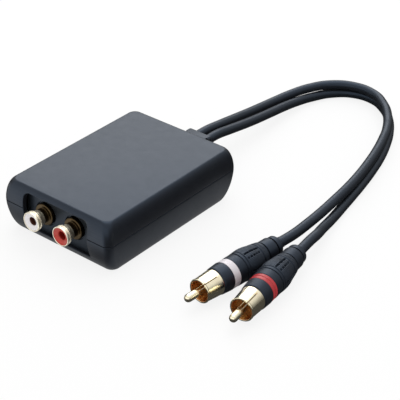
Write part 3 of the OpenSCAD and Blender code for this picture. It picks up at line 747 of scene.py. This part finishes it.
def boot_outline():
    """Boot from its front face over the step, the grip and two rings to the sleeve on the cable."""
    s = BOOT_S + 0.02
    core = CABLE_R - 0.3
    body = BOOT_R - 0.3
    step = BOOT_R - 0.62
    front = [
        (core, s), (BOOT_R - 0.45, s, 0.2), (BOOT_R - 0.35, s + 0.3, 0.2), (body, STEP_S, 0.12),
        (step, STEP_S + 0.06, 0.08), (step, GRIP_S - 0.12, 0.08), (body, GRIP_S - 0.02, 0.1)]
    out = eased(front, 4)
    steps = 84
    for k in range(steps + 1):
        t = k / steps
        bulge = 0.25 * math.sin(math.pi * min(t * 1.6, 1)) - 1.9 * max(0.0, t - 0.35) ** 1.4
        out.append((BOOT_R - 0.25 + bulge, GRIP_S + GRIP_L * t))
    ring = RING_R
    ring_s = GRIP_E + GROOVE_W
    groove = ring - 1.2
    last = ring - 0.4
    last_s = RING_E + GROOVE_W
    last_groove = groove - 0.2
    sleeve = CABLE_R + 0.12
    back = [
        out[-1], (groove, GRIP_E + 0.06, 0.06), (groove, ring_s - 0.06, 0.06),
        (ring - 0.05, ring_s, 0.1), (ring, ring_s + 0.25, 0.1), (ring, RING_E - 0.2, 0.1),
        (ring - 0.08, RING_E, 0.06), (last_groove, RING_E + 0.06, 0.06), (last_groove, last_s - 0.06, 0.06),
        (last - 0.05, last_s, 0.08), (last, last_s + 0.2, 0.1), (last - 0.05, BOOT_E - 0.5, 0.3),
        (last - 0.5, BOOT_E, 0.3), (sleeve, BOOT_E + 0.05, 0.1), (sleeve, PLUG_L - 0.2, 0.1),
        (sleeve - 0.1, PLUG_L), (core, PLUG_L)]
    return out[:-1] + eased(back, 4)


def build_boot(colour, matrix):
    """Boot with the slits, dashes and ribs of its grip."""
    obj = lathe("boot_" + colour, boot_outline(), 432, relief=grip_relief, smooth_deg=60)
    obj.matrix_world = matrix
    place(obj, "root", "plug_moulding", BOOT, "plug_boot_" + colour)
    return obj


def build_shell_contact(colour, matrix):
    """Split gold shell with a rolled rim; its inner face is a darker gold as painted shade."""
    s = SHELL_S
    bore = SHELL_IN_R
    rim = RIM_R - 0.08
    front = RIM_R - 0.26
    back = RIM_R + 0.1
    outer = lathe("shell_" + colour, eased([
        (bore, s + 0.3, 0.2), (bore + 0.12, s + 0.03, 0.12), (rim - 0.22, s, 0.15), (rim, s + 0.2, 0.15),
        (rim, s + 0.5, 0.2), (front, s + 0.75, 0.2), (front + 0.12, s + 2.6, 1), (back, COLLAR_S - 2, 1),
        (RIM_R + 0.2, COLLAR_S - 0.3, 0.2), (back, COLLAR_S), (bore, COLLAR_S)]), 160, closed=True)
    slot_end = s + (COLLAR_S - s) * SLOT_SHARE
    for turn in (SLOT_TURN, SLOT_TURN + 90):
        blade = box_cutter((-RIM_R - 1, s - 1, -SLOT_W / 2), (RIM_R + 1, slot_end, SLOT_W / 2))
        blade.matrix_world = Matrix.Rotation(math.radians(turn), 4, "Y")
        cut(outer, blade)
    outer.matrix_world = matrix
    place(outer, "root", "gold_plate", GOLD, "plug_shell_" + colour)
    # The inner faces get the darker gold: painted shade inside the shell
    outer.data.materials.append(SHELL_INSIDE_SHADE)
    for poly in outer.data.polygons:
        c = poly.center
        r = math.hypot(c.x, c.z)
        if r < (SHELL_IN_R + 0.12) * MM and poly.normal.x * c.x + poly.normal.z * c.z < 0:
            poly.material_index = 1
    return outer


def build_plug(colour, paint):
    """All pieces of one plug, placed at the end of its cable."""
    matrix = plug_matrix(ROUTES[colour])
    built = [build_boot(colour, matrix), build_shell_contact(colour, matrix)]

    nose = []
    for degrees in range(0, 90, 6):
        a = math.radians(degrees)
        nose.append((PIN_R * math.sin(a), PIN_R * (1 - math.cos(a))))
    pin = lathe("pin_" + colour, nose + [(PIN_R, PIN_R), (PIN_R, PIN_ROOT)], 64)
    pin.matrix_world = matrix
    built.append(place(pin, "root", "gold_plate", GOLD, "plug_pin_" + colour))

    face = PIN_ROOT + 0.6
    edge = SHELL_IN_R - 0.05
    disc = lathe("insulator_" + colour, eased([
        (PIN_R - 0.4, PIN_ROOT + 0.1), (PIN_R + 0.5, PIN_ROOT + 0.1, 0.2), (PIN_R + 0.7, face, 0.2),
        (edge, face, 0.1), (edge, COLLAR_S)]), 64)
    disc.matrix_world = matrix
    built.append(place(disc, "root", "insulator", INSULATOR, "plug_insulator_" + colour))

    bore = SHELL_IN_R + 0.5
    start = COLLAR_S + 0.02
    collar = lathe("collar_" + colour, eased([
        (bore, start), (COLLAR_R - 0.8, start, 0.15), (COLLAR_R - 0.35, COLLAR_S + 0.4, 0.3),
        (COLLAR_R, BAND_S - 0.3, 0.2), (COLLAR_R - 0.1, BAND_S), (bore, BAND_S)]), 128, closed=True)
    collar.matrix_world = matrix
    built.append(place(collar, "root", "plug_moulding", BOOT, "plug_collar_" + colour))

    # Only the red band has a groove round its middle
    r = COLLAR_R - 0.06
    start = BAND_S + 0.02
    mid = (BAND_S + BOOT_S) / 2
    outline = [(bore, start), (r - 0.1, start, 0.1), (r, BAND_S + 0.15, 0.1)]
    if colour == "red":
        low = r - 0.2
        outline += [(r, mid - 0.3, 0.1), (low, mid - 0.12, 0.08)]
        outline += [(low, mid + 0.12, 0.08), (r, mid + 0.3, 0.1)]
    outline += [(r, BOOT_S - 0.15, 0.1), (r - 0.1, BOOT_S), (bore, BOOT_S)]
    band = lathe("band_" + colour, eased(outline), 128, closed=True)
    band.matrix_world = matrix
    built.append(place(band, "root", colour + "_band", paint, "plug_band_" + colour))
    return built


# Cables


def build_cable(colour, pieces):
    """Jacket along its route. The pieces of its plug are not used."""
    route = ROUTES[colour]
    curve = bpy.data.curves.new("cable_" + colour + "_jacket", "CURVE")
    curve.dimensions = "3D"
    curve.resolution_u = 10
    curve.bevel_depth = CABLE_R * MM
    curve.bevel_resolution = 7
    curve.use_fill_caps = True
    spline = curve.splines.new("BEZIER")
    spline.bezier_points.add(len(route) - 1)
    for point, at in zip(spline.bezier_points, route):
        point.co = Vector(at) * MM
        point.handle_left_type = "AUTO"
        point.handle_right_type = "AUTO"
    obj = bpy.data.objects.new("cable_" + colour + "_jacket", curve)
    bpy.context.scene.collection.objects.link(obj)
    place(obj, "root", "cable_jacket", JACKET, "cable_" + colour)


for colour, paint in (("white", WHITE_BAND), ("red", RED_BAND)):
    build_cable(colour, build_plug(colour, paint))


# Camera


def build_camera():
    """Camera aimed at CAM_TARGET and rolled about the line of sight."""
    right = Vector((math.cos(CAM_AZIMUTH), math.sin(CAM_AZIMUTH), 0))
    back = Vector((math.sin(CAM_AZIMUTH) * math.cos(CAM_ELEVATION),
                   -math.cos(CAM_AZIMUTH) * math.cos(CAM_ELEVATION), math.sin(CAM_ELEVATION)))
    up = back.cross(right)
    rolled_right = right * math.cos(CAM_ROLL) + up * math.sin(CAM_ROLL)
    rolled_up = up * math.cos(CAM_ROLL) - right * math.sin(CAM_ROLL)
    data = bpy.data.cameras.new("camera")
    data.sensor_fit = "HORIZONTAL"
    data.sensor_width = SENSOR
    data.lens = CAM_FOCAL_PX / PHOTO_PX * SENSOR
    data.clip_start = 0.01
    cam = bpy.data.objects.new("camera", data)
    bpy.context.scene.collection.objects.link(cam)
    place_at = CAM_TARGET + back * CAM_DISTANCE
    cam.matrix_world = Matrix((
        (rolled_right.x, rolled_up.x, back.x, place_at.x),
        (rolled_right.y, rolled_up.y, back.y, place_at.y),
        (rolled_right.z, rolled_up.z, back.z, place_at.z),
        (0, 0, 0, 1)))
    bpy.context.scene.camera = cam


build_camera()


# Stage and light


def area_light(name, where, target, size, power):
    """Rectangular lamp at where, turned to target."""
    data = bpy.data.lights.new(name, "AREA")
    data.shape = "RECTANGLE"
    data.size, data.size_y = size
    data.energy = power
    obj = bpy.data.objects.new(name, data)
    bpy.context.scene.collection.objects.link(obj)
    obj.location = where
    obj.rotation_euler = (Vector(target) - Vector(where)).to_track_quat("-Z", "Y").to_euler()


def mix_value(nt, factor, a, b):
    """a where factor is 0 and b where it is 1; each is a number or a socket."""
    node = nt.nodes.new("ShaderNodeMix")
    for key, value in (("Factor", factor), ("A", a), ("B", b)):
        if isinstance(value, (int, float)):
            node.inputs[key].default_value = value
        else:
            nt.links.new(value, node.inputs[key])
    return node.outputs["Result"]


def maths(nt, operation, a, b=None):
    """Result of an operation on one or two values, each a number or a socket."""
    node = nt.nodes.new("ShaderNodeMath")
    node.operation = operation
    for socket, value in zip(node.inputs, (a, b)):
        if value is None:
            continue
        if isinstance(value, (int, float)):
            socket.default_value = value
        else:
            nt.links.new(value, socket)
    return node.outputs[0]


def smooth_step(nt, value, low, high):
    """0 below low and 1 above high, with a smooth rise between them."""
    node = nt.nodes.new("ShaderNodeMapRange")
    node.interpolation_type = "SMOOTHSTEP"
    node.inputs["From Min"].default_value = low
    node.inputs["From Max"].default_value = high
    nt.links.new(value, node.inputs["Value"])
    return node.outputs["Result"]


FLOOR_COLOUR = 0.8
SEEN_WHITE = 0.85
# How bright the floor is in mirror images: its front part, close to the box, and all over
FRONT_GLOW = 1.25
NEAR_GLOW = 0.4
EVEN_GLOW = 0.06
CORNER_GLOW = 0.25


def floor_material():
    """Pale floor. Mirrored in the part it is bright in front, and dim beside the near corner."""
    mat, nt, bsdf = new_material("floor")
    bsdf.inputs["Base Color"].default_value = (*grey(FLOOR_COLOUR), 1)
    bsdf.inputs["Roughness"].default_value = 0.9
    bsdf.inputs["Specular IOR Level"].default_value = 0.1
    path = nt.nodes.new("ShaderNodeLightPath")
    place_node = nt.nodes.new("ShaderNodeNewGeometry")
    split = nt.nodes.new("ShaderNodeSeparateXYZ")
    nt.links.new(place_node.outputs["Position"], split.inputs[0])
    x, y = split.outputs[0], split.outputs[1]
    ahead = maths(nt, "MULTIPLY", y, -1.0)
    # Distances here are in metres
    in_front = smooth_step(nt, ahead, 0.04, 0.06)
    lit = maths(nt, "MULTIPLY", in_front, maths(nt, "SUBTRACT", 1.0, smooth_step(nt, x, 0.012, 0.036)))
    away_x = maths(nt, "SUBTRACT", maths(nt, "ABSOLUTE", x), 0.026)
    away_y = maths(nt, "SUBTRACT", maths(nt, "ABSOLUTE", y), 0.034)
    away = maths(nt, "MAXIMUM", away_x, away_y)
    near = maths(nt, "SUBTRACT", 1.0, smooth_step(nt, away, 0.006, 0.024))
    corner = maths(nt, "MULTIPLY", smooth_step(nt, x, 0.0, 0.018), smooth_step(nt, ahead, 0.035, 0.041))
    near = maths(nt, "MULTIPLY", near, mix_value(nt, corner, 1.0, CORNER_GLOW))
    lit_glow = maths(nt, "MULTIPLY", lit, FRONT_GLOW)
    near_glow = maths(nt, "MULTIPLY", near, NEAR_GLOW)
    mirrored = maths(nt, "ADD", maths(nt, "ADD", lit_glow, near_glow), EVEN_GLOW)
    glow = nt.nodes.new("ShaderNodeEmission")
    nt.links.new(mirrored, glow.inputs["Strength"])
    mix = nt.nodes.new("ShaderNodeMixShader")
    nt.links.new(path.outputs["Is Glossy Ray"], mix.inputs["Fac"])
    nt.links.new(bsdf.outputs[0], mix.inputs[1])
    nt.links.new(glow.outputs[0], mix.inputs[2])
    # Seen by the camera the floor is close to white and keeps a faint shadow
    white = nt.nodes.new("ShaderNodeEmission")
    seen = nt.nodes.new("ShaderNodeMixShader")
    nt.links.new(maths(nt, "MULTIPLY", path.outputs["Is Camera Ray"], SEEN_WHITE), seen.inputs["Fac"])
    nt.links.new(mix.outputs[0], seen.inputs[1])
    nt.links.new(white.outputs[0], seen.inputs[2])
    nt.links.new(seen.outputs[0], nt.nodes["Material Output"].inputs["Surface"])
    return mat


WORLD_LIGHT = 0.8
SKY_LOW = 0.22
SKY_HIGH = 0.9
FRONT_CARD = 0.9


def build_world():
    """Even pale light. Its mirror image is dim at the horizon, bright overhead and low in front."""
    world = bpy.data.worlds.new("studio")
    bpy.context.scene.world = world
    world.use_nodes = True
    nt = world.node_tree
    path = nt.nodes.new("ShaderNodeLightPath")
    coords = nt.nodes.new("ShaderNodeTexCoord")
    split = nt.nodes.new("ShaderNodeSeparateXYZ")
    nt.links.new(coords.outputs["Generated"], split.inputs[0])
    sky = mix_value(nt, smooth_step(nt, split.outputs[2], 0.05, 0.7), SKY_LOW, SKY_HIGH)
    ahead = smooth_step(nt, maths(nt, "MULTIPLY", split.outputs[1], -1.0), 0.3, 0.8)
    low = maths(nt, "SUBTRACT", 1.0, smooth_step(nt, split.outputs[2], 0.3, 0.7))
    card = maths(nt, "MULTIPLY", maths(nt, "MULTIPLY", ahead, low), FRONT_CARD)
    sky = maths(nt, "ADD", sky, card)
    strength = mix_value(nt, path.outputs["Is Glossy Ray"], WORLD_LIGHT, sky)
    strength = mix_value(nt, path.outputs["Is Camera Ray"], strength, 1.0)
    background = nt.nodes["Background"]
    background.inputs["Color"].default_value = (1, 1, 1, 1)
    nt.links.new(strength, background.inputs["Strength"])


FLOOR_HALF = 3.0
FLOOR_Z = -0.1 * MM


def build_stage():
    """Floor just below the part, the world's light and two large lamps."""
    mesh = bpy.data.meshes.new("floor")
    sides = ((-1, -1), (1, -1), (1, 1), (-1, 1))
    corners = [(sx * FLOOR_HALF, sy * FLOOR_HALF, FLOOR_Z) for sx, sy in sides]
    mesh.from_pydata(corners, [], [(0, 1, 2, 3)])
    mesh.materials.append(floor_material())
    floor = bpy.data.objects.new("floor", mesh)
    bpy.context.scene.collection.objects.link(floor)
    build_world()
    area_light("overhead", (-0.1, 0.2, 0.8), (0.02, 0.03, 0), (0.8, 0.8), 3.4)
    area_light("behind", (-0.62, 0.8, 0.62), (0.0, 0.02, 0), (0.8, 0.6), 3.2)


build_stage()
bpy.context.scene.view_settings.view_transform = "Standard"

bpy.context.view_layer.update()
